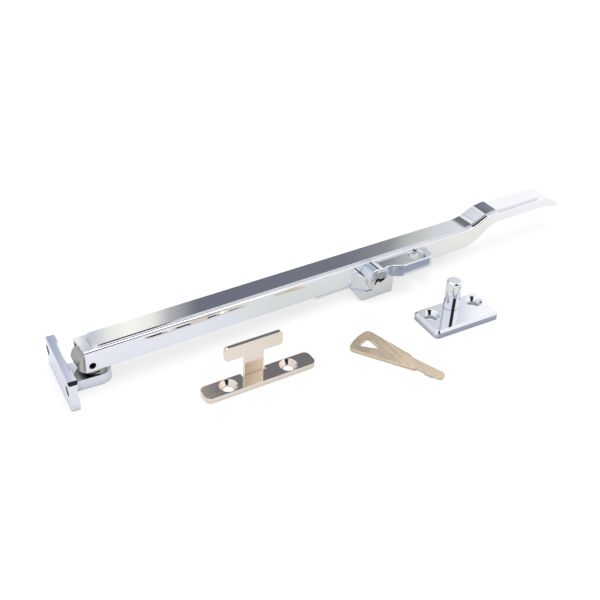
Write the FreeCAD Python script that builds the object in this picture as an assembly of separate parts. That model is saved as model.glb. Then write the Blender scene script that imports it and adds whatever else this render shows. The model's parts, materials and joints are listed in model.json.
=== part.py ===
import FreeCAD, Part
import math
import os

# A key-locking casement window stay with its loose fittings, laid out on a flat surface.
# Millimetres. +X runs along the stay arm to its tail, +Z is up, and the origin is the
# swivel axis of the mounting bracket, at the height of the surface.
# Pieces carried by the arm are drawn level, then tipped about the arm pivot until the
# lock housing touches the surface (see droop).

V = FreeCAD.Vector
X, Y, Z = V(1, 0, 0), V(0, 1, 0), V(0, 0, 1)

# ---------------------------------------------------------------- driving dimensions
# stay arm
ARM_WIDTH = 12.4
ARM_BOTTOM = 8.0
ARM_SHOULDER = 18.0            # top of the side walls
PANEL_RISE = 1.1               # raised panel above the shoulder
PANEL_WIDTH = 10.3
PANEL_START = -1.7
ARM_START = -5.9
WALL = 1.25
ROOF = 1.2                     # channel roof below the shoulder
HUMP_START = 195.5
HUMP_RISE = 5.4                # crest above the shoulder
CREST_FALL = 0.9               # the crest climbs this much on its way to the step
TAIL_TOP = 22.1
TAIL_BOTTOM = 17.7
TAIL_TIP = 256.5
CHANNEL_END = 186.0
PANEL_STEP = 0.35              # upper tier of the panel above its lower tier
PANEL_BORDER = 0.6             # width of that step
SHOULDER_ROUND = 0.4
ARM_DROOP = 0.94               # degrees, tail down

# arm pivot and swivel
PIVOT_X = -3.1
PIVOT_Z = 10.9
PIVOT_R = 1.5
PIVOT_WALL = 0.45              # the pin is rolled from strip of this thickness
PIVOT_SET = 0.5                # depth of the pin's ends below the arm's sides
RUNNING = 0.05                 # radial clearance of a turning fit
EYE_R = 5.2
EYE_WIDTH = 9.4
KNUCKLE_BOTTOM = 5.4
KNUCKLE_TOP = 9.0
RIVET_R = 2.0
RIVET_HEAD_R = 3.4

# mounting bracket
BRACKET_YAW = -5.4             # degrees about the swivel axis
BRACKET_LENGTH = 34.0
BRACKET_HEIGHT = 14.0
BRACKET_FACE = 15.2            # swivel axis to the fixing face
BRACKET_PAD = 3.9              # thickness at the screw pads
BRACKET_WAIST = 3.1            # thickness between the pads
BRACKET_END_SLOPE = 1.3        # slope across the top of each end
BRACKET_HOLES = 28.0
BRACKET_HOLE_Z = 8.4
LUG_WIDTH = 12.4
LUG_TOP = 5.0

# countersunk fixing holes, for a No. 8 wood screw
SCREW_HOLE_R = 2.15
SCREW_SINK_R = 3.9

# lock
LOCK_X = 133.2
LOCK_Z = 12.6
HOUSING_FACE = -12.1
FOOT_TOP = 6.7                 # top of the foot block, left of the key cylinder
BOSS_FACE = -13.6
BOSS_R = 5.6
SLEEVE_R = 4.8
SLEEVE_FACE = -14.0
SLEEVE_BACK = -9.0
PLUG_R = 3.8
PLUG_FACE = -14.2
CRANK = 2.7                    # offset of the cam pin from the plug axis
CAM_PIN_R = 0.8
BOLT_Z = 14.1
BOLT_Y = -9.4
BOLT_NOSE_R = 1.6
FLANGE_FACE = -14.9
FLANGE_BOTTOM = 11.4
FLANGE_TOP = 17.2
FLANGE_END = 165.6
PIN_HOLE_X = 157.6
PIN_HOLE_Y = -10.2
PIN_HOLE_R = 3.7
COVER_START = 104.0
COVER_END = 150.0
COVER_THICK = 1.2
COVER_SCREWS = (109.0, 146.0)
COVER_POST_R = 2.5             # posts in the channel that take those screws
COVER_SCREW_END = 12.5
HOUSING_SCREWS = ((127.4, 10.4), (163.6, 14.2))
SCREW_GRIP = 2.2               # depth of those screws in the housing

# pin plate
PIN_PLATE_AT = (155.2, -43.9)
PIN_PLATE_YAW = -3.5
PIN_PLATE_SIZE = (35.0, 18.4, 3.7)
PIN_PLATE_HOLES = 24.0
PIN_PLATE_HOLE_Y = 3.0
PIN_PLATE_CORNER = 2.2
PIN_PLATE_BEVEL = 1.0
PIN_R = 3.5
PIN_Y = 4.5
PIN_TOP = 18.0
PIN_TENON_R = 2.5              # lower end of the pin, riveted into the plate

# T-shaped keep plate
KEEP_AT = (56.2, -35.5)
KEEP_YAW = -2.2
KEEP_LENGTH = 50.8
KEEP_WIDTH = 8.5
KEEP_SHEET = 2.4
KEEP_TONGUE = 1.7              # thickness of the upright tongue and its bar
KEEP_NECK_X = -0.8
KEEP_HOLES = 28.0
KEEP_NECK = 8.7
KEEP_NOTCH = (1.2, 2.2)        # width and depth of the bend relief at each side of the neck
KEEP_BEND_R = 1.6              # outer radius of the bend up into the neck
KEEP_BAR = (26.4, 12.3, 19.0)  # cross-bar length, bottom and top

# key
KEY_AT = (107.0, -37.0)
KEY_YAW = -67.0
KEY_THICK = 1.5
KEY_MILLED = 0.2               # depth milled off each face of the blade

# ---------------------------------------------------------------- shape helpers


def box(x0, x1, y0, y1, z0, z1):
    return Part.makeBox(x1 - x0, y1 - y0, z1 - z0, V(x0, y0, z0))


def rod(radius, start, end):
    """A cylinder from one point to another."""
    along = V(*end) - V(*start)
    return Part.makeCylinder(radius, along.Length, V(*start), along)


def cone(r0, r1, start, end):
    along = V(*end) - V(*start)
    return Part.makeCone(r0, r1, along.Length, V(*start), along)


def tube(outer, inner, start, end):
    return rod(outer, start, end).cut(rod(inner, start, end))


def rounded_outline(corners):
    """Closed wire in XY through (x, y, corner radius) points, with tangent arcs at the corners."""
    count = len(corners)
    stops = []
    for i, (x, y, radius) in enumerate(corners):
        here = V(x, y, 0)
        if radius == 0:
            stops.append((here, here, here))
            continue
        back = (V(*corners[i - 1][:2], 0) - here).normalize()
        ahead = (V(*corners[(i + 1) % count][:2], 0) - here).normalize()
        half_angle = back.getAngle(ahead) / 2
        setback = radius / math.tan(half_angle)
        bisector = (back + ahead).normalize()
        middle = here + bisector * (radius / math.sin(half_angle) - radius)
        stops.append((here + back * setback, middle, here + ahead * setback))
    edges = []
    for i, (begin, middle, end) in enumerate(stops):
        if begin != end:
            edges.append(Part.Arc(begin, middle, end).toShape())
        following = stops[(i + 1) % count][0]
        if not end.isEqual(following, 1e-6):
            edges.append(Part.makeLine(end, following))
    return Part.Wire(edges)


def plan(corners, z0, z1):
    """Prism standing on a plan outline."""
    face = Part.Face(rounded_outline(corners))
    return face.translated(V(0, 0, z0)).extrude(V(0, 0, z1 - z0))


def side(corners, y0, y1):
    """Prism across Y from a side view outline of (x, z, radius) points."""
    face = Part.Face(rounded_outline(corners))
    face.rotate(V(), X, 90)
    return face.translated(V(0, y1, 0)).extrude(V(0, y0 - y1, 0))


def slab(length, width, z0, z1, radius):
    """Plate centred on the Z axis with rounded corners."""
    a, b = length / 2, width / 2
    return plan([(-a, -b, radius), (a, -b, radius), (a, b, radius), (-a, b, radius)], z0, z1)


def countersunk(top, into):
    """Cutter for a countersunk screw hole, from its mouth centre along a unit direction."""
    top, into = V(*top), V(*into)
    depth = SCREW_SINK_R - SCREW_HOLE_R
    sink = Part.makeCone(SCREW_SINK_R, SCREW_HOLE_R, depth, top, into)
    hole = Part.makeCylinder(SCREW_HOLE_R, 20, top, into)
    return sink.fuse(hole)


def top_edges(shape, height):
    return [e for e in shape.Edges if e.BoundBox.ZMin > height - 1e-4]


def placed(shape, at, yaw):
    moved = shape.copy()
    moved.rotate(V(), Z, yaw)
    moved.translate(V(at[0], at[1], 0))
    return moved


def droop(shape):
    """Tip an arm piece about the arm pivot, tail down."""
    moved = shape.copy()
    moved.rotate(V(PIVOT_X, 0, PIVOT_Z), Y, ARM_DROOP)
    return moved


def foot_height(x):
    """Level height of a point of the arm that touches the surface once the arm has drooped."""
    angle = math.radians(ARM_DROOP)
    return PIVOT_Z + ((x - PIVOT_X) * math.sin(angle) - PIVOT_Z) / math.cos(angle)


def helix(radius, wire_r, pitch, turns, start, along):
    """Coil spring of round wire, starting at a point and running along a direction."""
    path = Part.Wire(Part.makeHelix(pitch, pitch * turns, radius).Edges)
    section = Part.Wire(Part.makeCircle(wire_r, V(radius, 0, 0), Y))
    coil = path.makePipeShell([section], True, True)
    coil.rotate(V(), Z.cross(V(*along)), math.degrees(Z.getAngle(V(*along))))
    return coil.translated(V(*start))


# ---------------------------------------------------------------- stay arm

HALF_ARM = ARM_WIDTH / 2
HALF_CHANNEL = HALF_ARM - WALL


def arm_side_profile():
    """Side view of the bar: level channel, hump, then a thinner tail with a turned-down tip."""
    crest = ARM_SHOULDER + HUMP_RISE
    return [
        (ARM_START, ARM_BOTTOM, 0),
        (HUMP_START + 1.5, ARM_BOTTOM, 25),
        (HUMP_START + 14, TAIL_BOTTOM, 16),
        (TAIL_TIP - 12, TAIL_BOTTOM, 12),
        (TAIL_TIP - 3, TAIL_BOTTOM - 1.7, 1),
        (TAIL_TIP, TAIL_BOTTOM - 1.2, 0.7),
        (TAIL_TIP - 9, TAIL_TOP + 0.4, 5),
        (HUMP_START + 18.5, TAIL_TOP, 3),
        (HUMP_START + 15.5, crest, 1.6),
        (HUMP_START + 9.5, crest - CREST_FALL, 16),
        (HUMP_START, ARM_SHOULDER, 22),
        (ARM_START, ARM_SHOULDER, 0),
    ]


def panel_side_profile(rise):
    """Side view of one tier of the raised panel, which follows the hump above the shoulder."""
    crest = ARM_SHOULDER + rise + HUMP_RISE
    sunk = 3.0
    return [
        (PANEL_START, ARM_SHOULDER - 0.5, 0),
        (HUMP_START, ARM_SHOULDER - 0.5, 0),
        (HUMP_START + 10, ARM_SHOULDER + sunk, 0),
        (HUMP_START + 18, TAIL_TOP - 0.5, 0),
        (TAIL_TIP, TAIL_TOP - 0.5, 0),
        (TAIL_TIP, TAIL_TOP + rise, 0),
        (HUMP_START + 19.5, TAIL_TOP + rise, 4),
        (HUMP_START + 16, crest, 1.6),
        (HUMP_START + 9.5, crest - CREST_FALL, 16),
        (HUMP_START - 0.5, ARM_SHOULDER + rise, 22),
        (PANEL_START, ARM_SHOULDER + rise, 0),
    ]


def panel_plan(inset):
    """Plan of one tier of the panel: rounded start, narrower tail, and an ogee end."""
    wide = PANEL_WIDTH / 2 - inset
    narrow = wide - 0.6
    start = PANEL_START + inset
    neck = HUMP_START + 16
    return [
        (start, -wide, 2.6),
        (neck, -wide, 0.5),
        (neck + 2, -narrow, 0.5),
        (TAIL_TIP - 15.6 - inset, -narrow, 0.4),
        (TAIL_TIP - 12 - inset, -narrow + 2.0, 1.2),
        (TAIL_TIP - 10.6 - inset, narrow - 1.8, 1.2),
        (TAIL_TIP - 7.4 - inset, narrow, 0.4),
        (neck + 2, narrow, 0.5),
        (neck, wide, 0.5),
        (start, wide, 2.6),
    ]


def raised_panel():
    """Two low tiers, so that the panel has a stepped border."""
    tiers = []
    for rise, inset in ((PANEL_RISE - PANEL_STEP, 0), (PANEL_RISE, PANEL_BORDER)):
        tier = side(panel_side_profile(rise), -HALF_ARM, HALF_ARM)
        tiers.append(tier.common(plan(panel_plan(inset), ARM_BOTTOM, TAIL_TOP + 10)))
    return tiers[0].fuse(tiers[1])


def stay_arm():
    arm = side(arm_side_profile(), -HALF_ARM, HALF_ARM)
    shoulder = [
        e for e in top_edges(arm, ARM_SHOULDER)
        if e.BoundBox.YLength < 1e-6 and e.BoundBox.XMax < TAIL_TIP - 2
    ]
    arm = arm.makeFillet(SHOULDER_ROUND, shoulder)
    channel = box(
        ARM_START - 1, CHANNEL_END, -HALF_CHANNEL, HALF_CHANNEL, ARM_BOTTOM - 1, ARM_SHOULDER - ROOF
    )
    arm = arm.fuse(raised_panel()).cut(channel)
    for x in COVER_SCREWS:
        post = rod(COVER_POST_R, (x, 0, ARM_BOTTOM), (x, 0, ARM_SHOULDER - 1))
        screw_hole = rod(SMALL_SCREW_R, (x, 0, ARM_BOTTOM - 1), (x, 0, COVER_SCREW_END + 0.5))
        arm = arm.fuse(post).cut(screw_hole)
    for x, z in HOUSING_SCREWS:
        arm = arm.cut(rod(SMALL_SCREW_R, (x, -HALF_ARM - 1, z), (x, 0, z)))
    pivot = rod(PIVOT_R, (PIVOT_X, -HALF_ARM - 1, PIVOT_Z), (PIVOT_X, HALF_ARM + 1, PIVOT_Z))
    return arm.cut(pivot).removeSplitter()


def pivot_pin():
    """Slotted spring pin, set slightly below the arm's sides."""
    end = HALF_ARM - PIVOT_SET
    pin = tube(PIVOT_R, PIVOT_R - PIVOT_WALL, (PIVOT_X, -end, PIVOT_Z), (PIVOT_X, end, PIVOT_Z))
    slot = box(PIVOT_X + 0.5, PIVOT_X + PIVOT_R + 1, -end, end, PIVOT_Z - 0.25, PIVOT_Z + 0.25)
    return pin.cut(slot)


# ---------------------------------------------------------------- bracket and knuckle


def bracket_plan():
    """Fixing plate in plan: thick screw pads, and a waist that flares to each pad."""
    half = BRACKET_LENGTH / 2
    pad_edge = half - 6.6
    pad, waist = BRACKET_PAD - BRACKET_FACE, BRACKET_WAIST - BRACKET_FACE
    return [
        (-BRACKET_FACE, -half, 0.8),
        (pad, -half, 0.8),
        (pad, -pad_edge, 0.3),
        (waist, -pad_edge + 1.2, 2),
        (waist, pad_edge - 1.2, 2),
        (pad, pad_edge, 0.3),
        (pad, half, 0.8),
        (-BRACKET_FACE, half, 0.8),
    ]


def lug_plan():
    """Lug in plan: flared root on the plate and a round end about the swivel axis."""
    half = LUG_WIDTH / 2
    root = 0.3 - BRACKET_FACE + BRACKET_WAIST
    return [
        (-BRACKET_FACE + 1, -half - 3.4, 0),
        (root, -half - 3.4, 0),
        (root, -half, 3.0),
        (half, -half, half - 0.4),
        (half, half, half - 0.4),
        (root, half, 3.0),
        (root, half + 3.4, 0),
        (-BRACKET_FACE + 1, half + 3.4, 0),
    ]


def mounting_bracket():
    plate = plan(bracket_plan(), 0, BRACKET_HEIGHT)
    plate = plate.makeChamfer(0.25, top_edges(plate, BRACKET_HEIGHT))
    bracket = plate.cut(end_slopes()).fuse(plan(lug_plan(), 0, LUG_TOP))
    for y in (-BRACKET_HOLES / 2, BRACKET_HOLES / 2):
        mouth = (BRACKET_PAD - BRACKET_FACE, y, BRACKET_HOLE_Z)
        bracket = bracket.cut(countersunk(mouth, (-1, 0, 0)))
    bore = rod(RIVET_R + RUNNING, (0, 0, -1), (0, 0, LUG_TOP + 1))
    bracket = bracket.cut(bore).cut(rivet_head(RUNNING * 1.5)).removeSplitter()
    return placed(bracket, (0, 0), BRACKET_YAW)


def end_slopes():
    """Wedges that slope the top corner of each end of the bracket plate."""
    wedges = []
    for end in (-1, 1):
        tip, inner = end * BRACKET_LENGTH / 2, end * (BRACKET_LENGTH / 2 - BRACKET_END_SLOPE)
        corner = Part.makePolygon([
            V(-BRACKET_FACE - 1, inner, BRACKET_HEIGHT), V(-BRACKET_FACE - 1, inner, BRACKET_HEIGHT + 1),
            V(-BRACKET_FACE - 1, tip + end, BRACKET_HEIGHT + 1),
            V(-BRACKET_FACE - 1, tip + end, BRACKET_HEIGHT - BRACKET_END_SLOPE - 1),
            V(-BRACKET_FACE - 1, inner, BRACKET_HEIGHT),
        ])
        wedges.append(Part.Face(corner).extrude(V(BRACKET_PAD + 2, 0, 0)))
    return Part.makeCompound(wedges)


def rivet_head(clearance):
    depth = RIVET_HEAD_R - RIVET_R
    bottom = 0.1 - clearance
    return cone(RIVET_HEAD_R + clearance, RIVET_R + clearance, (0, 0, bottom), (0, 0, bottom + depth))


def swivel_rivet():
    return rivet_head(0).fuse(rod(RIVET_R, (0, 0, 0.1), (0, 0, KNUCKLE_TOP))).removeSplitter()


def swivel_washer():
    return tube(EYE_WIDTH / 2, RIVET_R, (0, 0, LUG_TOP), (0, 0, KNUCKLE_BOTTOM))


def knuckle():
    """Eye across the arm pivot, standing on a round foot that turns on the lug."""
    half = EYE_WIDTH / 2
    eye = rod(EYE_R, (PIVOT_X, -half, PIVOT_Z), (PIVOT_X, half, PIVOT_Z))
    eye = eye.makeFillet(0.9, [e for e in eye.Edges if e.Closed])
    foot = rod(half, (0, 0, KNUCKLE_BOTTOM), (0, 0, KNUCKLE_TOP))
    web = box(PIVOT_X, 0, -half, half, KNUCKLE_BOTTOM, KNUCKLE_TOP)
    block = eye.fuse([foot, web])
    block = block.cut(rod(RIVET_R, (0, 0, 0), (0, 0, KNUCKLE_TOP)))
    pivot = rod(PIVOT_R + RUNNING, (PIVOT_X, -half - 1, PIVOT_Z), (PIVOT_X, half + 1, PIVOT_Z))
    return block.cut(pivot).removeSplitter()


# ---------------------------------------------------------------- lock housing

SMALL_SCREW_R = 1.25
SMALL_HEAD_R = 2.3
BACK = -HALF_ARM               # the housing sits on the arm's near side
CRANK_STEP = CRANK * math.sin(math.radians(45))
BOLT_TRAVEL = 2 * CRANK_STEP
CLIP_BACK = -8.5
CAM_FRONT = -8.4
CAM_FACE = -7.6
PLATE_FACE = -7.5


def housing_foot():
    """Block under the key cylinder: its foot is the part of the arm that meets the surface."""
    left, right = LOCK_X - 7.0, LOCK_X + 10.4
    low = foot_height(right)
    block = plan([
        (left - 3.6, BACK, 0), (left, HOUSING_FACE, 0.5), (right, HOUSING_FACE, 0.8), (right, BACK, 0),
    ], low, LOCK_Z)
    above = box(left - 5, LOCK_X, HOUSING_FACE - 1, BACK + 1, FOOT_TOP, LOCK_Z + 1)
    back_low, back_high = low - 1, ARM_BOTTOM - COVER_THICK
    under = Part.makePolygon([
        V(left - 5, HOUSING_FACE + 1.2, back_low), V(left - 5, HOUSING_FACE + 1.2, low),
        V(left - 5, BACK, back_high), V(left - 5, BACK + 1, back_high),
        V(left - 5, BACK + 1, back_low), V(left - 5, HOUSING_FACE + 1.2, back_low),
    ])
    return block.cut(above).cut(Part.Face(under).extrude(V(right - left + 10, 0, 0)))


def housing_boss():
    """Round boss about the key cylinder, with a wing that runs out to the arm on the left."""
    boss = rod(BOSS_R, (LOCK_X, BACK, LOCK_Z), (LOCK_X, BOSS_FACE, LOCK_Z))
    rim = [e for e in boss.Edges if e.Closed and e.BoundBox.YMax < BOSS_FACE + 0.1]
    boss = boss.makeFillet(0.5, rim)
    wing_face = HOUSING_FACE + 0.4
    wing = plan([
        (LOCK_X - 10.2, BACK, 0), (LOCK_X - 4.6, wing_face, 2.0), (LOCK_X, wing_face, 0), (LOCK_X, BACK, 0),
    ], FOOT_TOP - 1, LOCK_Z + 1.6)
    return boss.fuse(wing)


def housing_flange():
    """Bar along the arm, with the vertical hole that drops over the stay pin."""
    start = LOCK_X + 3
    near_sweep = LOCK_X + 8.5
    return plan([
        (start, BACK, 0), (start, BOSS_FACE + 0.6, 0), (near_sweep - 2, BOSS_FACE + 2.0, 5),
        (near_sweep + 4, FLANGE_FACE, 5), (FLANGE_END, FLANGE_FACE, 3.8), (FLANGE_END, BACK, 0),
    ], FLANGE_BOTTOM, FLANGE_TOP)


def lock_housing():
    flange = housing_flange()
    outer_rim = [e for e in top_edges(flange, FLANGE_TOP) if e.BoundBox.YMin < BACK - 0.1]
    flange = flange.makeFillet(0.6, outer_rim)
    housing = housing_foot().fuse([housing_boss(), flange])
    pin_axis = (PIN_HOLE_X, PIN_HOLE_Y)
    pin_hole = rod(PIN_HOLE_R, (*pin_axis, 0), (*pin_axis, FLANGE_TOP + 1))
    sink_start, sink_end = (*pin_axis, FLANGE_TOP - 0.7), (*pin_axis, FLANGE_TOP)
    sink = cone(PIN_HOLE_R - 0.2, PIN_HOLE_R + 0.5, sink_start, sink_end)
    sleeve_seat = rod(SLEEVE_R, (LOCK_X, BOSS_FACE - 1, LOCK_Z), (LOCK_X, BACK, LOCK_Z))
    housing = housing.cut(pin_hole).cut(sink).cut(sleeve_seat)
    return housing.cut(bolt_cavity()).cut(housing_screw_holes()).removeSplitter()


def bolt_cavity():
    """Room for the bolt plate, its step and its nose, over the whole travel."""
    reach = BOLT_TRAVEL + 0.3
    plate = box(
        BOLT_PLATE_START - 0.4, BOLT_STEP_END + reach, PLATE_FACE - 0.2, BACK,
        BOLT_PLATE_BOTTOM - 0.4, BOLT_PLATE_TOP + 0.2
    )
    step = box(
        BOLT_STEP_START - 0.3, BOLT_STEP_END + reach, BOLT_Y - BOLT_NOSE_R - 0.15, BACK,
        BOLT_Z - BOLT_NOSE_R - 0.15, BOLT_PLATE_TOP + 0.2
    )
    nose = rod(BOLT_NOSE_R + RUNNING, (LOCK_X + 8, BOLT_Y, BOLT_Z), (PIN_HOLE_X, BOLT_Y, BOLT_Z))
    return plate.fuse([step, nose])


def housing_screw_holes():
    holes = [rod(SMALL_SCREW_R, (x, BACK - SCREW_GRIP - 0.2, z), (x, BACK + 1, z)) for x, z in HOUSING_SCREWS]
    return Part.makeCompound(holes)


def housing_screws():
    """Two pan-head screws, driven from inside the channel into the housing."""
    screws = []
    inner = BACK + WALL
    for x, z in HOUSING_SCREWS:
        head = rod(SMALL_HEAD_R, (x, inner, z), (x, inner + 1.3, z))
        head = head.cut(box(x - 3, x + 3, inner + 0.7, inner + 2, z - 0.3, z + 0.3))
        shank = rod(SMALL_SCREW_R, (x, BACK - SCREW_GRIP, z), (x, inner, z))
        screws.append(head.fuse(shank).removeSplitter())
    return Part.makeCompound(screws)


def channel_cover():
    """Strip that closes the channel below the lock."""
    middle, length = (COVER_START + COVER_END) / 2, COVER_END - COVER_START
    bottom = ARM_BOTTOM - COVER_THICK
    cover = slab(length, ARM_WIDTH, bottom, ARM_BOTTOM, 1.0).translated(V(middle, 0, 0))
    for x in COVER_SCREWS:
        cover = cover.cut(cover_screw(x, 0.05))
    return cover


def cover_screw(x, clearance):
    bottom = ARM_BOTTOM - COVER_THICK
    depth = SMALL_HEAD_R - SMALL_SCREW_R
    head = cone(SMALL_HEAD_R + clearance, SMALL_SCREW_R + clearance, (x, 0, bottom), (x, 0, bottom + depth))
    shank_end = COVER_SCREW_END if clearance == 0 else ARM_BOTTOM
    return head.fuse(rod(SMALL_SCREW_R + clearance, (x, 0, bottom), (x, 0, shank_end)))


def cover_screws():
    bottom = ARM_BOTTOM - COVER_THICK
    screws = []
    for x in COVER_SCREWS:
        slot = box(x - 3, x + 3, -0.3, 0.3, bottom - 1, bottom + 0.6)
        screws.append(cover_screw(x, 0).cut(slot).removeSplitter())
    return Part.makeCompound(screws)


# ---------------------------------------------------------------- key cylinder and bolt

WAFER_Y = (-13.2, -12.05, -10.9, -9.75)
WAFER_THICK = 0.5
WAFER_HALF = (3.2, 1.7)        # half the width and half the height of a wafer
WINDOW_HALF = (2.7, 1.2)
SPRING_AT = 2.5                # centre line of the springs above the plug axis
SPRING_R = 0.38
SPRING_WIRE_R = 0.1
SPRING_POCKET_R = 0.52
PLUG_RIM_R = PLUG_R + 0.4
PLUG_NECK_R = 2.5              # round neck behind the barrel, where the clip sits
CAM_SQUARE = 1.6               # half the side of the square tail
BOLT_STEP_START = LOCK_X + 6.0
BOLT_STEP_END = LOCK_X + 9.0
BOLT_PLATE_TOP = BOLT_Z + BOLT_NOSE_R
BOLT_PLATE_BOTTOM = 8.8
BOLT_PLATE_START = LOCK_X - 3.6


def on_lock_axis(radius, y0, y1):
    return rod(radius, (LOCK_X, y0, LOCK_Z), (LOCK_X, y1, LOCK_Z))


def cylinder_sleeve():
    """Fixed shell of the key cylinder, with a recess for the plug's rim."""
    sleeve = on_lock_axis(SLEEVE_R, SLEEVE_BACK, SLEEVE_FACE)
    front = [e for e in sleeve.Edges if e.Closed and e.BoundBox.YMax < SLEEVE_FACE + 0.1]
    sleeve = sleeve.makeFillet(0.35, front)
    rim = on_lock_axis(PLUG_RIM_R + RUNNING, SLEEVE_FACE - 1, SLEEVE_FACE + 0.65)
    return sleeve.cut(on_lock_axis(PLUG_R + RUNNING, SLEEVE_BACK, SLEEVE_FACE)).cut(rim)


def keyway():
    """Waved slot that only the matching blade enters, lying along the arm."""
    x, z = LOCK_X, LOCK_Z
    wave = [
        (x - 3.1, z - 1.7, 0.3), (x - 2.1, z - 1.7, 0.3), (x - 1.4, z - 0.4, 0.5), (x - 0.7, z - 0.4, 0.5),
        (x + 0.8, z - 1.2, 0.5), (x + 3.1, z - 0.2, 0.3), (x + 3.1, z + 1.3, 0.3), (x + 0.8, z + 0.5, 0.5),
        (x - 0.9, z + 1.4, 0.6), (x - 1.9, z + 1.4, 0.6),
    ]
    return side(wave, PLUG_FACE - 1, WAFER_Y[-1] + WAFER_THICK)


def wafer(y, clearance):
    """Sliding wafer, or with a clearance the slot it slides in."""
    half, tall = (size + clearance for size in WAFER_HALF)
    thick = WAFER_THICK / 2 + clearance
    return box(LOCK_X - half, LOCK_X + half, y - thick, y + thick, LOCK_Z - tall, LOCK_Z + tall)


def cylinder_plug():
    """Turning plug: rim at the front, wafer slots, keyway, and a square tail for the cam."""
    plug = on_lock_axis(PLUG_R, PLUG_FACE, SLEEVE_BACK)
    plug = plug.fuse(on_lock_axis(PLUG_RIM_R, PLUG_FACE, SLEEVE_FACE + 0.6))
    plug = plug.fuse(on_lock_axis(PLUG_NECK_R, SLEEVE_BACK, CAM_FRONT)).fuse(cam_square())
    for y in WAFER_Y:
        plug = plug.cut(wafer(y, RUNNING))
    springs = [spring_pocket(y) for y in WAFER_Y]
    return plug.cut(keyway()).cut(Part.makeCompound(springs)).removeSplitter()


def cam_square():
    """Square tail of the plug, which carries the cam."""
    half = CAM_SQUARE
    return box(LOCK_X - half, LOCK_X + half, CAM_FRONT, CAM_FACE, LOCK_Z - half, LOCK_Z + half)


def plug_wafers():
    """Four wafers, each with the window that the blade passes through."""
    wide, tall = WINDOW_HALF
    window = box(LOCK_X - wide, LOCK_X + wide, PLUG_FACE, SLEEVE_BACK, LOCK_Z - tall, LOCK_Z + tall)
    return Part.makeCompound([wafer(y, 0).cut(window) for y in WAFER_Y])


def spring_pocket(y):
    z = LOCK_Z + SPRING_AT
    return rod(SPRING_POCKET_R, (LOCK_X - 1.5, y, z), (LOCK_X + 1.5, y, z))


def wafer_springs():
    """One coil beside each wafer."""
    pitch, turns = 0.45, 5
    coils = []
    for y in WAFER_Y:
        start = (LOCK_X - 1.2, y, LOCK_Z + SPRING_AT)
        coils.append(helix(SPRING_R, SPRING_WIRE_R, pitch, turns, start, X))
    return Part.makeCompound(coils)


def plug_clip():
    """Open ring behind the sleeve that holds the plug in."""
    ring = on_lock_axis(SLEEVE_R - 0.1, SLEEVE_BACK, CLIP_BACK)
    ring = ring.cut(on_lock_axis(PLUG_NECK_R, SLEEVE_BACK, CLIP_BACK))
    gap = box(LOCK_X - 1, LOCK_X + 1, SLEEVE_BACK - 1, CLIP_BACK + 1, LOCK_Z, LOCK_Z + SLEEVE_R + 1)
    return ring.cut(gap)


def lock_cam():
    """Cam on the plug's square tail, with the crank pin that drives the bolt."""
    disc = on_lock_axis(CRANK + 0.9, CAM_FRONT, CAM_FACE)
    x, z = LOCK_X - CRANK_STEP, LOCK_Z - CRANK_STEP
    crank_pin = rod(CAM_PIN_R, (x, CAM_FACE - 0.4, z), (x, BACK - 0.25, z))
    return disc.fuse(crank_pin).cut(cam_square()).removeSplitter()


def locking_bolt():
    """Forked plate behind the plug, a step past the sleeve, and a round nose toward the pin hole."""
    fork_x = LOCK_X - CRANK_STEP
    slot_half = CAM_PIN_R + 0.12
    plate = box(BOLT_PLATE_START, BOLT_STEP_END, PLATE_FACE, BACK - 0.1, BOLT_PLATE_BOTTOM, BOLT_PLATE_TOP)
    fork_slot = box(
        fork_x - slot_half, fork_x + slot_half, PLATE_FACE - 1, BACK + 1, BOLT_PLATE_BOTTOM - 1, LOCK_Z - 0.9
    )
    plate = plate.cut(fork_slot)
    step = box(
        BOLT_STEP_START, BOLT_STEP_END, BOLT_Y - BOLT_NOSE_R, BACK - 0.1, BOLT_Z - BOLT_NOSE_R, BOLT_PLATE_TOP
    )
    nose_end = PIN_HOLE_X - PIN_HOLE_R - 0.4
    nose = rod(BOLT_NOSE_R, (BOLT_STEP_END, BOLT_Y, BOLT_Z), (nose_end, BOLT_Y, BOLT_Z))
    return plate.fuse([step, nose]).removeSplitter()


# ---------------------------------------------------------------- loose fittings


def pin_plate():
    """Bevelled base plate with two countersunk holes and a seat for the stay pin."""
    length, width, thick = PIN_PLATE_SIZE
    plate = slab(length, width, 0, thick, PIN_PLATE_CORNER)
    plate = plate.makeChamfer(PIN_PLATE_BEVEL, top_edges(plate, thick))
    for x in (-PIN_PLATE_HOLES / 2, PIN_PLATE_HOLES / 2):
        plate = plate.cut(countersunk((x, PIN_PLATE_HOLE_Y, thick), (0, 0, -1)))
    plate = plate.cut(rod(PIN_TENON_R, (0, PIN_Y, -1), (0, PIN_Y, thick + 1)))
    return placed(plate, PIN_PLATE_AT, PIN_PLATE_YAW)


def stay_pin():
    """Upright pin, riveted into the plate, with a blind hole for the locking bolt on its far side."""
    thick = PIN_PLATE_SIZE[2]
    pin = rod(PIN_R, (0, PIN_Y, thick), (0, PIN_Y, PIN_TOP))
    pin = pin.makeChamfer(0.6, top_edges(pin, PIN_TOP))
    hole_z = 12.4
    bolt_hole = rod(BOLT_NOSE_R + 0.3, (0.5, PIN_Y, hole_z), (PIN_R + 1, PIN_Y, hole_z))
    pin = pin.fuse(rod(PIN_TENON_R, (0, PIN_Y, 0.3), (0, PIN_Y, thick))).cut(bolt_hole)
    return placed(pin.removeSplitter(), PIN_PLATE_AT, PIN_PLATE_YAW)


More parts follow.
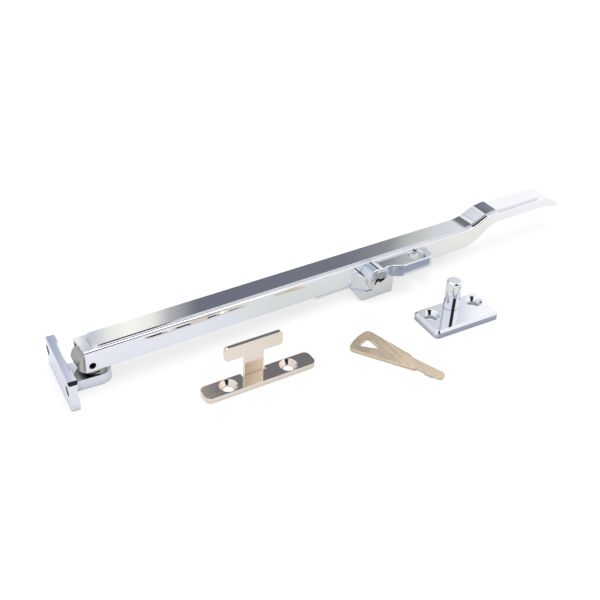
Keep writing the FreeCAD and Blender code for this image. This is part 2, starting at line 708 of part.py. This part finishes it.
def keep_plate():
    """T-shaped keep: base plate, upright tongue on its far edge, and a cross-bar."""
    base = slab(KEEP_LENGTH, KEEP_WIDTH, 0, KEEP_SHEET, 2.6)
    back = KEEP_WIDTH / 2
    front = back - KEEP_TONGUE
    notch_half = KEEP_NOTCH[0] / 2
    notch_front = back - KEEP_NOTCH[1]
    for sign in (-1, 1):
        notch_x = KEEP_NECK_X + sign * (KEEP_NECK / 2 + notch_half)
        notch = box(notch_x - notch_half, notch_x + notch_half, notch_front, back + 1, -1, KEEP_SHEET + 1)
        hole = countersunk((sign * KEEP_HOLES / 2, 0, KEEP_SHEET), (0, 0, -1))
        base = base.cut(notch).cut(hole)
    bar_length, bar_bottom, bar_top = KEEP_BAR
    neck_left, neck_right = KEEP_NECK_X - KEEP_NECK / 2, KEEP_NECK_X + KEEP_NECK / 2
    bar_left, bar_right = KEEP_NECK_X - bar_length / 2, KEEP_NECK_X + bar_length / 2
    tee = side([
        (neck_left, 0, 0), (neck_right, 0, 0), (neck_right, bar_bottom, 0.8), (bar_right, bar_bottom, 1.4),
        (bar_right, bar_top, 1.4), (bar_left, bar_top, 1.4), (bar_left, bar_bottom, 1.4),
        (neck_left, bar_bottom, 0.8),
    ], front, back)
    bend_y = back - KEEP_BEND_R
    bend = rod(KEEP_BEND_R, (neck_left, bend_y, KEEP_BEND_R), (neck_right, bend_y, KEEP_BEND_R))
    outside_bend = box(neck_left, neck_right, bend_y, back + 1, -1, KEEP_BEND_R).cut(bend)
    keep = base.fuse(tee).cut(outside_bend)
    return placed(keep.removeSplitter(), KEEP_AT, KEEP_YAW)


def stay_key():
    """Flat key: fan-shaped bow with a three-sided hole, and a stepped blade milled thinner."""
    outline = [
        (-1.6, -8.1, 2.6), (28.0, -2.8, 0.3), (28.5, -1.9, 0.3), (31.6, -1.8, 0.3), (32.8, -2.5, 0.4),
        (36.0, -2.5, 0.3), (36.8, -2.0, 0.3), (40.2, -1.9, 1.4), (40.2, 2.4, 1.6),
        (23.4, 3.5, 0.3), (22.9, 4.3, 0.3), (-1.6, 8.3, 2.6), (-2.9, 0, 24),
    ]
    hole = [(1.0, -4.0, 0.9), (10.6, 0, 0.9), (1.0, 4.0, 0.9)]
    key = plan(outline, 0, KEY_THICK).cut(plan(hole, -1, KEY_THICK + 1))
    milled = [(22.9, 9, 0), (20.4, -0.6, 0.5), (28.0, -2.1, 0.5), (45, -2.1, 0), (45, 9, 0)]
    for z0, z1 in ((-1, KEY_MILLED), (KEY_THICK - KEY_MILLED, KEY_THICK + 1)):
        key = key.cut(plan(milled, z0, z1))
    return placed(key.removeSplitter(), KEY_AT, KEY_YAW)


# ---------------------------------------------------------------- output

ON_ARM = {
    "stay_arm": stay_arm,
    "pivot_pin": pivot_pin,
    "lock_housing": lock_housing,
    "housing_screws": housing_screws,
    "channel_cover": channel_cover,
    "cover_screws": cover_screws,
    "cylinder_sleeve": cylinder_sleeve,
    "cylinder_plug": cylinder_plug,
    "plug_wafers": plug_wafers,
    "wafer_springs": wafer_springs,
    "plug_clip": plug_clip,
    "lock_cam": lock_cam,
    "locking_bolt": locking_bolt,
}

ON_SURFACE = {
    "mounting_bracket": mounting_bracket,
    "swivel_rivet": swivel_rivet,
    "swivel_washer": swivel_washer,
    "knuckle": knuckle,
    "pin_plate": pin_plate,
    "stay_pin": stay_pin,
    "keep_plate": keep_plate,
    "stay_key": stay_key,
}

os.makedirs("parts", exist_ok=True)
for name, build in ON_ARM.items():
    droop(build()).exportStep("parts/%s.step" % name)
for name, build in ON_SURFACE.items():
    build().exportStep("parts/%s.step" % name)
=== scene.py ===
import json
import math

import bmesh
import bpy
from mathutils import Matrix, Vector


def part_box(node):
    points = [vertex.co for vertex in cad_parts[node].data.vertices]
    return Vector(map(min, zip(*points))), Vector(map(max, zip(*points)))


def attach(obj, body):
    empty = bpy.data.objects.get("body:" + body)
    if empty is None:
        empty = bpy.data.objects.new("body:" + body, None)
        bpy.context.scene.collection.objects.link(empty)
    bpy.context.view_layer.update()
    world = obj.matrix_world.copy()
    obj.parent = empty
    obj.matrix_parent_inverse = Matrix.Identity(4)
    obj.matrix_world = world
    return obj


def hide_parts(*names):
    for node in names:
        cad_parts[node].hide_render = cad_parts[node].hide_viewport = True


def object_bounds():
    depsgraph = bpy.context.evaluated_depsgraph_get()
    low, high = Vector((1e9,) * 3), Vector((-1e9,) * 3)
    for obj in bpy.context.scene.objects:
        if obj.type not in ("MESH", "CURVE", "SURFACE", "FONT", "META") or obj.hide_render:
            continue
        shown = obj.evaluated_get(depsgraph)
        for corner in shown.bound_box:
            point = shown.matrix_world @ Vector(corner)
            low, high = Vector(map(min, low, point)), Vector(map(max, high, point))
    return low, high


# Looks for a polished casement window stay with its loose fittings on a pale studio floor.
# Metres. Every finished piece is worked up from its CAD node, so it sits where the frame says.

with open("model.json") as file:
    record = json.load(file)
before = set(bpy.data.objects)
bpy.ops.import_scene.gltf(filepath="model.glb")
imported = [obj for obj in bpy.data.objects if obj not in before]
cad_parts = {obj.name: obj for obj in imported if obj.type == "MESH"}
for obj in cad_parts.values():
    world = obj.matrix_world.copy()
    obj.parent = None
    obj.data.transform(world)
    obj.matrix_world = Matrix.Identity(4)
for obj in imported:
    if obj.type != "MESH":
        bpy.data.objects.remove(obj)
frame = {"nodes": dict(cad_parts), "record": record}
cad_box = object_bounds()
MM = 0.001

# ---------------------------------------------------------------- node helpers


def add_node(tree, kind, inputs=None, **settings):
    """Add a shader node, set its properties, and fill or link its inputs."""
    node = tree.nodes.new(kind)
    for name, value in settings.items():
        setattr(node, name, value)
    for name, value in (inputs or {}).items():
        if isinstance(value, bpy.types.NodeSocket):
            tree.links.new(value, node.inputs[name])
        else:
            node.inputs[name].default_value = value
    return node


def math_node(tree, operation, *values, clamp=False):
    """The result of one sum, whose values are numbers or sockets."""
    inputs = dict(enumerate(values))
    return add_node(tree, "ShaderNodeMath", inputs, operation=operation, use_clamp=clamp).outputs[0]


def mix_colour(tree, factor, a, b, mode="MIX"):
    """Colour a turning to colour b, each a colour or a socket."""
    node = add_node(tree, "ShaderNodeMix", {"Factor": factor}, data_type="RGBA", blend_type=mode)
    for socket, value in ((node.inputs[6], a), (node.inputs[7], b)):
        if isinstance(value, bpy.types.NodeSocket):
            tree.links.new(value, socket)
        else:
            socket.default_value = (*value, 1)
    return node.outputs[2]


def ramp(tree, factor, stops):
    """Colour ramp that eases through (position, colour) stops."""
    node = add_node(tree, "ShaderNodeValToRGB", {"Fac": factor})
    node.color_ramp.interpolation = "EASE"
    elements = node.color_ramp.elements
    elements[0].position, elements[0].color = stops[0][0], (*stops[0][1], 1)
    elements[1].position, elements[1].color = stops[-1][0], (*stops[-1][1], 1)
    for position, colour in stops[1:-1]:
        elements.new(position).color = (*colour, 1)
    return node.outputs["Color"]


def noise(tree, vector, scale, detail=3.0):
    """Cloudy noise from 0 to 1, with about scale clouds to the metre."""
    inputs = {"Vector": vector, "Scale": scale, "Detail": detail, "Roughness": 0.6}
    return add_node(tree, "ShaderNodeTexNoise", inputs).outputs["Fac"]


def fraction(tree, value, low, high):
    """0 at low, 1 at high, straight between them."""
    ends = {"Value": value, "From Min": low, "From Max": high}
    return add_node(tree, "ShaderNodeMapRange", ends).outputs[0]


def rising(tree, value, low, high):
    """0 up to low, 1 from high on, with a smooth step between them."""
    ends = {"Value": value, "From Min": low, "From Max": high}
    return add_node(tree, "ShaderNodeMapRange", ends, interpolation_type="SMOOTHSTEP").outputs[0]


def falling(tree, value, low, high):
    """1 up to low, 0 from high on, with a smooth step between them."""
    return math_node(tree, "SUBTRACT", 1.0, rising(tree, value, low, high))


def span(tree, value, low, high, soft):
    """1 between low and high, falling to 0 over the soft margin on either side."""
    inside = rising(tree, value, low - soft, low)
    return math_node(tree, "MULTIPLY", inside, falling(tree, value, high, high + soft))


def new_material(name):
    """(material, its node tree, its Principled shader, object coordinates)."""
    material = bpy.data.materials.new(name)
    material.use_nodes = True
    tree = material.node_tree
    place = add_node(tree, "ShaderNodeTexCoord").outputs["Object"]
    return material, tree, tree.nodes["Principled BSDF"], place


# ---------------------------------------------------------------- metals and plastics

# clouds to the metre
POLISH_CLOUDS = 60.0           # broad unevenness of a polish
RUB_MARKS = 420.0              # faint marks left by handling
METAL_GRAIN = 2600.0           # the finest grain that still shows
PLASTIC_CLOUDS = 300.0
PLASTIC_TEXTURE = 3000.0       # sparked texture of the mould

# how the clouds and the marks change a metal's roughness, in shares of that roughness
SMOOTHEST = 0.55               # in the best polished clouds
CLOUDS_ADD = 0.5               # added in the dullest clouds
MARKS_ADD = 1.6                # added by the marks, for all that they rise above their threshold
MARKS_FROM = 0.55              # marks fainter than this leave the polish alone

BUMP_HEIGHT = 0.05 * MM
PAINTED_SHADE_OPEN = 0.75             # a place this open to its surroundings takes no painted shade
PLASTIC_FADE = 0.88            # the darkest cloud in a plastic, as a share of its colour


def metal(
    name, colour, roughness, grain=(1, 1, 1), grain_depth=0.02, variation=0.06, shade=0.5, reach=2.5,
):
    """A plated or machined metal: uneven polish, fine grain, faint marks, and shade painted into its
    recesses.

    grain stretches the grain and the marks along an axis, variation is how far the colour
    wanders, shade is the colour's share left by the painted shade in a deep recess, and reach is
    how wide a gap still takes painted shade, in millimetres.
    """
    material, tree, shader, place = new_material(name)
    stretched = add_node(tree, "ShaderNodeMapping", {"Vector": place, "Scale": grain}).outputs[0]
    cloud = noise(tree, place, POLISH_CLOUDS)
    fine = noise(tree, stretched, METAL_GRAIN, detail=2.0)
    marks = noise(tree, stretched, RUB_MARKS, detail=5.0)

    darker = tuple(c * (1 - variation) for c in colour)
    tint = mix_colour(tree, cloud, colour, darker)
    # painted shade: the colour darkens where the ambient occlusion finds a recess
    painted_recess_shade = add_node(tree, "ShaderNodeAmbientOcclusion", {"Distance": reach * MM}, samples=6)
    painted_recess_shade = ramp(tree, painted_recess_shade.outputs["AO"], [(0.0, (shade,) * 3), (PAINTED_SHADE_OPEN, (1, 1, 1))])
    tree.links.new(mix_colour(tree, 1.0, tint, painted_recess_shade, "MULTIPLY"), shader.inputs["Base Color"])

    polish = math_node(
        tree, "MULTIPLY_ADD", cloud, roughness * CLOUDS_ADD, roughness * SMOOTHEST,
    )
    marked = math_node(tree, "SUBTRACT", marks, MARKS_FROM, clamp=True)
    rub = math_node(tree, "MULTIPLY", marked, roughness * MARKS_ADD)
    tree.links.new(math_node(tree, "ADD", polish, rub, clamp=True), shader.inputs["Roughness"])

    relief = {"Height": fine, "Strength": grain_depth, "Distance": BUMP_HEIGHT}
    bump = add_node(tree, "ShaderNodeBump", relief)
    tree.links.new(bump.outputs["Normal"], shader.inputs["Normal"])
    shader.inputs["Metallic"].default_value = 1.0
    return material


def moulded_plastic(name, colour, roughness):
    """Matt moulded plastic with a fine sparked texture."""
    material, tree, shader, place = new_material(name)
    cloud = noise(tree, place, PLASTIC_CLOUDS)
    tint = mix_colour(tree, cloud, colour, tuple(c * PLASTIC_FADE for c in colour))
    tree.links.new(tint, shader.inputs["Base Color"])
    texture = noise(tree, place, PLASTIC_TEXTURE)
    relief = {"Height": texture, "Strength": 0.2, "Distance": BUMP_HEIGHT}
    bump = add_node(tree, "ShaderNodeBump", relief)
    tree.links.new(bump.outputs["Normal"], shader.inputs["Normal"])
    shader.inputs["Roughness"].default_value = roughness
    return material


# grain drawn out along an axis
ALONG_X = (0.04, 1, 1)
ALONG_Y = (1, 0.05, 1)

# The record's slots, and a darker chrome for two castings: the bracket and the lock housing.
# shade and reach set the depth and width of each metal's painted shade in its recesses.
METALS = {
    "polished_chrome": dict(colour=(0.90, 0.905, 0.92), roughness=0.05, variation=0.04),
    # the bracket's chrome takes deep, wide painted shade, which darkens the lug's top under the arm
    "bracket_chrome": dict(
        colour=(0.86, 0.87, 0.90), roughness=0.06, variation=0.04, shade=0.15, reach=5.5,
    ),
    "housing_chrome": dict(colour=(0.82, 0.83, 0.87), roughness=0.08, shade=0.3),
    # the knuckle's satin nickel takes deep, wide painted shade, which darkens its top inside the arm's
    # channel
    "satin_nickel": dict(
        colour=(0.52, 0.51, 0.46), roughness=0.22, grain_depth=0.08, shade=0.12, reach=5,
    ),
    "zinc_steel": dict(colour=(0.60, 0.61, 0.62), roughness=0.24, grain_depth=0.08),
    "black_steel": dict(colour=(0.03, 0.03, 0.032), roughness=0.35, shade=0.2),
    "nickel_plate": dict(colour=(0.80, 0.79, 0.76), roughness=0.12, grain_depth=0.05, shade=0.3),
    "brass": dict(colour=(0.72, 0.54, 0.26), roughness=0.25, grain_depth=0.06),
    "spring_steel": dict(colour=(0.50, 0.51, 0.52), roughness=0.22),
    "warm_nickel": dict(
        colour=(0.93, 0.82, 0.69), roughness=0.12, grain=ALONG_X, grain_depth=0.08,
    ),
    "key_nickel": dict(
        colour=(0.86, 0.71, 0.53), roughness=0.34, grain=ALONG_Y, grain_depth=0.2,
        variation=0.12,
    ),
}
MATERIALS = {name: metal(name, **look) for name, look in METALS.items()}
MATERIALS["nylon"] = moulded_plastic("nylon", (0.72, 0.72, 0.69), 0.45)

# ---------------------------------------------------------------- crown of the arm

WELD = 0.002 * MM              # points nearer than this are one point

CROWN_SIDE_R = 15 * MM         # the slight bulge of the bar's side
CROWN_CORNER_R = 0.79 * MM     # the round that takes it into the flat top
CROWN_TURN = math.radians(13)  # how far the bulge has turned where the corner starts
SIDE_STEPS = 10
CORNER_STEPS = 8
SIDE_SHARE = 0.88              # points beyond this share of the half width are on the bar's side
CROWN_FADE = 14 * MM           # length over which the crown dies out before the lock
FADE_STEPS = 5


def crowned_side(half_width, shoulder):
    """(height, half width) points up the crowned side, from the flat side to the bar's flat top.

    Heights are measured as the shoulder is, which is the height of the flat top.
    """
    turn = CROWN_TURN
    inset = CROWN_SIDE_R * (1 - math.cos(turn)) + CROWN_CORNER_R * (1 - math.sin(turn))
    centre = half_width - inset, shoulder - CROWN_CORNER_R
    knee = centre[1] + CROWN_CORNER_R * math.sin(turn)
    points = []
    for step in range(SIDE_STEPS + 1):
        angle = turn * step / SIDE_STEPS
        height = knee - CROWN_SIDE_R * (math.sin(turn) - math.sin(angle))
        points.append((height, half_width - CROWN_SIDE_R * (1 - math.cos(angle))))
    for step in range(1, CORNER_STEPS + 1):
        angle = turn + (math.pi / 2 - turn) * step / CORNER_STEPS
        points.append((
            centre[1] + CROWN_CORNER_R * math.sin(angle),
            centre[0] + CROWN_CORNER_R * math.cos(angle),
        ))
    return points


def width_at(height, profile):
    """Half width of the crowned side at a height, by the points of its profile."""
    width = profile[0][1]
    for (low, wide), (high, narrow) in zip(profile, profile[1:]):
        if low <= height:
            width = wide + (narrow - wide) * min(1, (height - low) / (high - low))
    return width


def cut_faces(work, point, normal):
    """Cut the faces that the plane through the point crosses."""
    bmesh.ops.bisect_plane(
        work, geom=work.verts[:] + work.edges[:] + work.faces[:], dist=WELD / 4,
        plane_co=point, plane_no=normal,
    )


def crown_arm(work):
    """Round the upper sides of the bar, as rolled strip is, from its start to the lock."""
    joints = {joint["name"]: joint for joint in frame["record"]["behaviour"]["joints"]}
    along = Vector(joints["bolt_slide"]["axis"]).normalized()
    up = along.cross(Vector((0, 1, 0)))
    pivot = Vector(joints["arm_lift"]["pos_m"])
    half_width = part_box("stay_arm")[1].y
    end = (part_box("lock_housing")[0] - pivot).dot(along)
    start_side = [
        vert.co - pivot for vert in work.verts
        if (vert.co - pivot).dot(along) < 0 and abs(vert.co.y) > SIDE_SHARE * half_width
    ]
    shoulder = max(place.dot(up) for place in start_side)
    profile = crowned_side(half_width, shoulder)
    for height, _ in profile[:-1]:
        cut_faces(work, pivot + up * height, up)
    for step in range(FADE_STEPS + 1):
        cut_faces(work, pivot + along * (end - CROWN_FADE * step / FADE_STEPS), along)
    for vert in work.verts:
        place = vert.co - pivot
        height = place.dot(up)
        share = min(1, max(0, (end - place.dot(along)) / CROWN_FADE))
        if share == 0 or not profile[0][0] < height < shoulder + WELD:
            continue
        eased = share * share * (3 - 2 * share)
        limit = half_width - (half_width - width_at(height, profile)) * eased
        if abs(vert.co.y) > limit:
            vert.co.y = math.copysign(limit, vert.co.y)


# ---------------------------------------------------------------- finished pieces

FLAT = math.radians(0.4)       # faces this close to one plane are one flat
SHARP = math.radians(32)       # an edge that turns more than this is rounded
CREASE = math.radians(55)      # an edge that turns more than this stays a crease in the shading
FLAT_WEIGHT = 80               # how firmly large flats hold the shading of their rounded edges
CROWN_WEIGHT = 50              # the same on a piece whose sides are crowned

SHAPING = {"arm_bar": crown_arm}    # shaping beyond the rounded edges, by piece
SLOTS = {subpart["node"]: subpart["material_slot"] for subpart in frame["record"]["subparts"]}


def finish_piece(name, node, body, material, edge):
    """A CAD node worked up in mesh: welded, its flats cleaned, and its edges finely rounded."""
    work = bmesh.new()
    work.from_mesh(frame["nodes"][node].data)
    bmesh.ops.remove_doubles(work, verts=work.verts, dist=WELD)
    bmesh.ops.dissolve_limit(work, angle_limit=FLAT, verts=work.verts, edges=work.edges)
    sharp = [e for e in work.edges if len(e.link_faces) == 2 and e.calc_face_angle(0.0) > SHARP]
    bmesh.ops.bevel(
        work, geom=sharp, offset=edge, segments=2, profile=0.5, affect="EDGES", clamp_overlap=True,
    )
    if name in SHAPING:
        SHAPING[name](work)
    bmesh.ops.recalc_face_normals(work, faces=work.faces)
    for face in work.faces:
        face.smooth = True
        face.material_index = 0
    for line in work.edges:
        line.smooth = len(line.link_faces) == 2 and line.calc_face_angle(0.0) < CREASE
    mesh = bpy.data.meshes.new(name)
    work.to_mesh(mesh)
    work.free()
    mesh.materials.append(MATERIALS[material])

    piece = bpy.data.objects.new(name, mesh)
    bpy.context.scene.collection.objects.link(piece)
    flats = piece.modifiers.new("flats stay flat", "WEIGHTED_NORMAL")
    flats.keep_sharp = True
    flats.weight = CROWN_WEIGHT if name in SHAPING else FLAT_WEIGHT
    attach(piece, body)
    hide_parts(node)


# name: CAD node, body, material, edge rounding in millimetres
FINISHED = {
    "arm_bar": ("stay_arm", "arm", "polished_chrome", 0.13),
    "bracket_casting": ("mounting_bracket", "bracket", "bracket_chrome", 0.22),
    "knuckle_casting": ("knuckle", "swivel", "satin_nickel", 0.15),
    "lock_casting": ("lock_housing", "arm", "housing_chrome", 0.20),
    "cover_strip": ("channel_cover", "arm", "polished_chrome", 0.12),
    "sleeve_turned": ("cylinder_sleeve", "arm", "nickel_plate", 0.08),
    "plug_turned": ("cylinder_plug", "plug", "nickel_plate", 0.05),
    "pin_plate_casting": ("pin_plate", "pin_set", "polished_chrome", 0.15),
    "stay_pin_turned": ("stay_pin", "pin_set", "polished_chrome", 0.12),
    "keep_pressing": ("keep_plate", "keep", "warm_nickel", 0.20),
    "key_stamping": ("stay_key", "key", "key_nickel", 0.15),
}

for name, (node, body, material, edge) in FINISHED.items():
    finish_piece(name, node, body, material, edge * MM)

# the nodes that stay as CAD take their finish from the record's slots
finished_nodes = {entry[0] for entry in FINISHED.values()}
for node, slot in SLOTS.items():
    if node not in finished_nodes:
        materials = frame["nodes"][node].data.materials
        materials.clear()
        materials.append(MATERIALS[slot])

# ---------------------------------------------------------------- studio floor

FLOOR_SIZE = 4.0
FLOOR_DROP = 0.02 * MM         # keeps the floor clear of the faces that rest on it
PAPER_SHADE = 0.40             # share of the light that the paper gives back
PAPER_GLOW = 0.62              # light of its own, so that the paper stays pale in the shadows
PAPER_CLOUDS = 900.0           # clouds to the metre in the paper
PAPER_WHITE = (1.0, 1.0, 1.0)
PAPER_FIBRE = (0.985, 0.985, 0.985)

# Painted reflections: tints that the floor shows only to reflections in the metal, as if cards
# lay round the set. How far along the set, and the colour.
FLOOR_REFLECTION_TINTS = [
    (0.0, (0.80, 0.81, 0.88)), (0.24, (0.80, 0.81, 0.88)), (0.42, (0.68, 0.70, 0.69)),
    (0.62, (0.74, 0.75, 0.74)), (0.85, (0.82, 0.81, 0.77)), (1.0, (0.86, 0.86, 0.88)),
]

# A painted reflection: a slate patch in front of the lock that the floor shows only to
# reflections in the metal; it darkens the flange's front.
SLATE_REFLECTION = (0.34, 0.37, 0.45)
SLATE_PAST = 10 * MM           # how far it runs beyond the end of the lock
SLATE_NEAR = 12 * MM           # from the lock's front to the patch's back edge
SLATE_FAR = 45 * MM            # from the lock's front to the patch's front edge
SLATE_END_SOFT = 4 * MM
SLATE_EDGE_SOFT = 1.2 * MM


def painted_slate_patch(tree, axes):
    """1 on the painted slate patch, 0 elsewhere on the floor."""
    lock_low, lock_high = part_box("lock_housing")
    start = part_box("cylinder_sleeve")[1].x
    length = span(tree, axes["X"], start, lock_high.x + SLATE_PAST, SLATE_END_SOFT)
    front, back = lock_low.y - SLATE_FAR, lock_low.y - SLATE_NEAR
    return math_node(tree, "MULTIPLY", length, span(tree, axes["Y"], front, back, SLATE_EDGE_SOFT))


def pale_floor():
    """Bright seamless paper; to reflections in the metal it shows painted tints, as of cards lying
    round the set.
    """
    material, tree, shader, place = new_material("pale_floor")
    axes = add_node(tree, "ShaderNodeSeparateXYZ", {0: place}).outputs
    along = fraction(tree, axes["X"], cad_box[0].x, cad_box[1].x)
    # painted reflections: reflections in the metal see these tints on the floor in place of the paper
    painted_reflections = mix_colour(tree, painted_slate_patch(tree, axes), ramp(tree, along, FLOOR_REFLECTION_TINTS), SLATE_REFLECTION)
    rays = add_node(tree, "ShaderNodeLightPath").outputs
    sheet = mix_colour(tree, noise(tree, place, PAPER_CLOUDS), PAPER_WHITE, PAPER_FIBRE)
    seen = mix_colour(tree, rays["Is Glossy Ray"], sheet, painted_reflections)
    paper = mix_colour(tree, 1.0, seen, (PAPER_SHADE,) * 3, "MULTIPLY")
    tree.links.new(paper, shader.inputs["Base Color"])
    tree.links.new(seen, shader.inputs["Emission Color"])
    shader.inputs["Emission Strength"].default_value = PAPER_GLOW
    shader.inputs["Roughness"].default_value = 0.7
    shader.inputs["Specular IOR Level"].default_value = 0.1
    return material


def studio_floor():
    """A wide flat sheet just under the set."""
    mesh = bpy.data.meshes.new("studio_floor")
    work = bmesh.new()
    bmesh.ops.create_grid(work, x_segments=1, y_segments=1, size=FLOOR_SIZE / 2)
    work.to_mesh(mesh)
    work.free()
    mesh.materials.append(pale_floor())
    floor = bpy.data.objects.new("studio_floor", mesh)
    bpy.context.scene.collection.objects.link(floor)
    floor.location.z = cad_box[0].z - FLOOR_DROP


studio_floor()

# ---------------------------------------------------------------- studio world

# The cards of the far wall by compass, in degrees from +Y toward +X. Seen from the camera, the
# flat top of the arm mirrors this wall from 18 degrees at the bracket to 51 at the tail.
FAR_WALL = [
    (-60, (0.86, 0.90, 1.0)), (8, (0.40, 0.45, 0.58)), (15.4, (0.42, 0.47, 0.60)),
    (16.6, (0.62, 0.66, 0.78)), (17.3, (0.98, 0.98, 1.0)), (18.9, (1.0, 1.0, 1.0)),
    (19.6, (0.56, 0.60, 0.66)), (21.8, (0.96, 0.96, 0.92)), (22.8, (1.05, 1.04, 0.97)),
    (24.3, (0.95, 0.94, 0.88)), (26.2, (0.42, 0.43, 0.47)), (28, (0.17, 0.178, 0.227)),
    (38.4, (0.19, 0.198, 0.245)), (41.3, (0.28, 0.29, 0.32)), (43.2, (0.56, 0.59, 0.56)),
    (45.0, (0.72, 0.74, 0.78)), (46.4, (0.78, 0.79, 0.90)), (48, (1.05, 1.05, 1.08)),
    (80, (1.0, 1.0, 1.05)),
]
WALL_BAND = 5, 49              # elevations, in degrees, between which the cards hang
WALL_SOFT = 6
OPEN_SKY = (1.0, 1.0, 1.02)
PLAIN_LIGHT = (1.0, 1.0, 1.0)

# The dark camera stand behind the camera, in degrees of compass on either hand and of elevation.
STAND_SIDE = 155               # it fills the compass from here round to 180
STAND_SOFT = 1.5
STAND_LEAN = 9                 # above the shoulder it is wider by this much on either hand
STAND_SHOULDER = 46, 56
STAND_FOOT = -4, 0
STAND_TOP = 70, 95
STAND_DARK = (0.03, 0.03, 0.035)


def compass(tree):
    """(azimuth from +Y toward +X in degrees, elevation in degrees) of the looked-at direction."""
    direction = add_node(tree, "ShaderNodeTexCoord").outputs["Generated"]
    parts = add_node(tree, "ShaderNodeSeparateXYZ", {0: direction}).outputs
    azimuth = math_node(tree, "ARCTAN2", parts["X"], parts["Y"])
    azimuth = math_node(tree, "MULTIPLY", azimuth, 180 / math.pi)
    elevation = math_node(tree, "ARCSINE", parts["Z"])
    return azimuth, math_node(tree, "MULTIPLY", elevation, 180 / math.pi)


def far_wall(tree, azimuth):
    """Colour of the far wall at a compass."""
    west, east = FAR_WALL[0][0], FAR_WALL[-1][0]
    stops = [((card_at - west) / (east - west), colour) for card_at, colour in FAR_WALL]
    return ramp(tree, fraction(tree, azimuth, west, east), stops)


def camera_stand(tree, azimuth, elevation):
    """1 in the dark camera stand, 0 elsewhere."""
    lean = math_node(tree, "MULTIPLY", rising(tree, elevation, *STAND_SHOULDER), STAND_LEAN)
    hand = math_node(tree, "ADD", math_node(tree, "ABSOLUTE", azimuth), lean)
    width = rising(tree, hand, STAND_SIDE - STAND_SOFT, STAND_SIDE)
    foot = rising(tree, elevation, *STAND_FOOT)
    height = math_node(tree, "MULTIPLY", foot, falling(tree, elevation, *STAND_TOP))
    return math_node(tree, "MULTIPLY", width, height)


def studio_world():
    """Plain white light, in which the metal alone sees the cards and the camera stand."""
    world = bpy.data.worlds.new("soft_studio")
    world.use_nodes = True
    bpy.context.scene.world = world
    tree = world.node_tree
    azimuth, elevation = compass(tree)
    wall_band = span(tree, elevation, *WALL_BAND, WALL_SOFT)
    picture = mix_colour(tree, wall_band, OPEN_SKY, far_wall(tree, azimuth))
    picture = mix_colour(tree, camera_stand(tree, azimuth, elevation), picture, STAND_DARK)

    rays = add_node(tree, "ShaderNodeLightPath").outputs
    seen = mix_colour(tree, rays["Is Glossy Ray"], PLAIN_LIGHT, picture)
    background = tree.nodes["Background"]
    tree.links.new(seen, background.inputs["Color"])
    background.inputs["Strength"].default_value = 1.0


studio_world()

SOFTBOX_FROM = Vector((0.1, 0.25, 0.9))    # from the middle of the set
SOFTBOX_SIZE = 0.7
SOFTBOX_POWER = 3.0


def overhead_softbox():
    """A round soft light above and behind the set, aimed at its middle."""
    light_data = bpy.data.lights.new("overhead_softbox", "AREA")
    light_data.shape = "DISK"
    light_data.size = SOFTBOX_SIZE
    light_data.energy = SOFTBOX_POWER
    light = bpy.data.objects.new("overhead_softbox", light_data)
    bpy.context.scene.collection.objects.link(light)
    light.location = (cad_box[0] + cad_box[1]) / 2 + SOFTBOX_FROM
    light.rotation_mode = "QUATERNION"
    light.rotation_quaternion = (-SOFTBOX_FROM).to_track_quat("-Z", "Y")


overhead_softbox()

# ---------------------------------------------------------------- camera

CAMERA_AT = Vector((-96.2, -284.4, 250.6)) * MM     # from the origin, the foot of the swivel axis
CAMERA_AZIMUTH = math.radians(-34.5)                # from +Y toward -X
CAMERA_PITCH = math.radians(35.7)                   # downward
CAMERA_ROLL = math.radians(2.75)
CAMERA_LENS = 55.8                                  # millimetres on a full-frame sensor
CAMERA_SENSOR = 36
CAMERA_NEAREST = 10 * MM


def studio_camera():
    """A camera that looks down at the set from the front, nearer its bracket end."""
    forward = Vector((
        -math.sin(CAMERA_AZIMUTH) * math.cos(CAMERA_PITCH),
        math.cos(CAMERA_AZIMUTH) * math.cos(CAMERA_PITCH),
        -math.sin(CAMERA_PITCH),
    ))
    level = forward.cross(Vector((0, 0, 1))).normalized()
    up = level.cross(forward)
    right = math.cos(CAMERA_ROLL) * level + math.sin(CAMERA_ROLL) * up
    top = -math.sin(CAMERA_ROLL) * level + math.cos(CAMERA_ROLL) * up
    turn = Matrix((right, top, -forward)).transposed().to_4x4()
    camera_data = bpy.data.cameras.new("studio_camera")
    camera_data.lens = CAMERA_LENS
    camera_data.sensor_width = CAMERA_SENSOR
    camera_data.clip_start = CAMERA_NEAREST
    camera = bpy.data.objects.new("studio_camera", camera_data)
    bpy.context.scene.collection.objects.link(camera)
    camera.matrix_world = Matrix.Translation(CAMERA_AT) @ turn
    bpy.context.scene.camera = camera


studio_camera()
bpy.context.scene.view_settings.view_transform = "Standard"
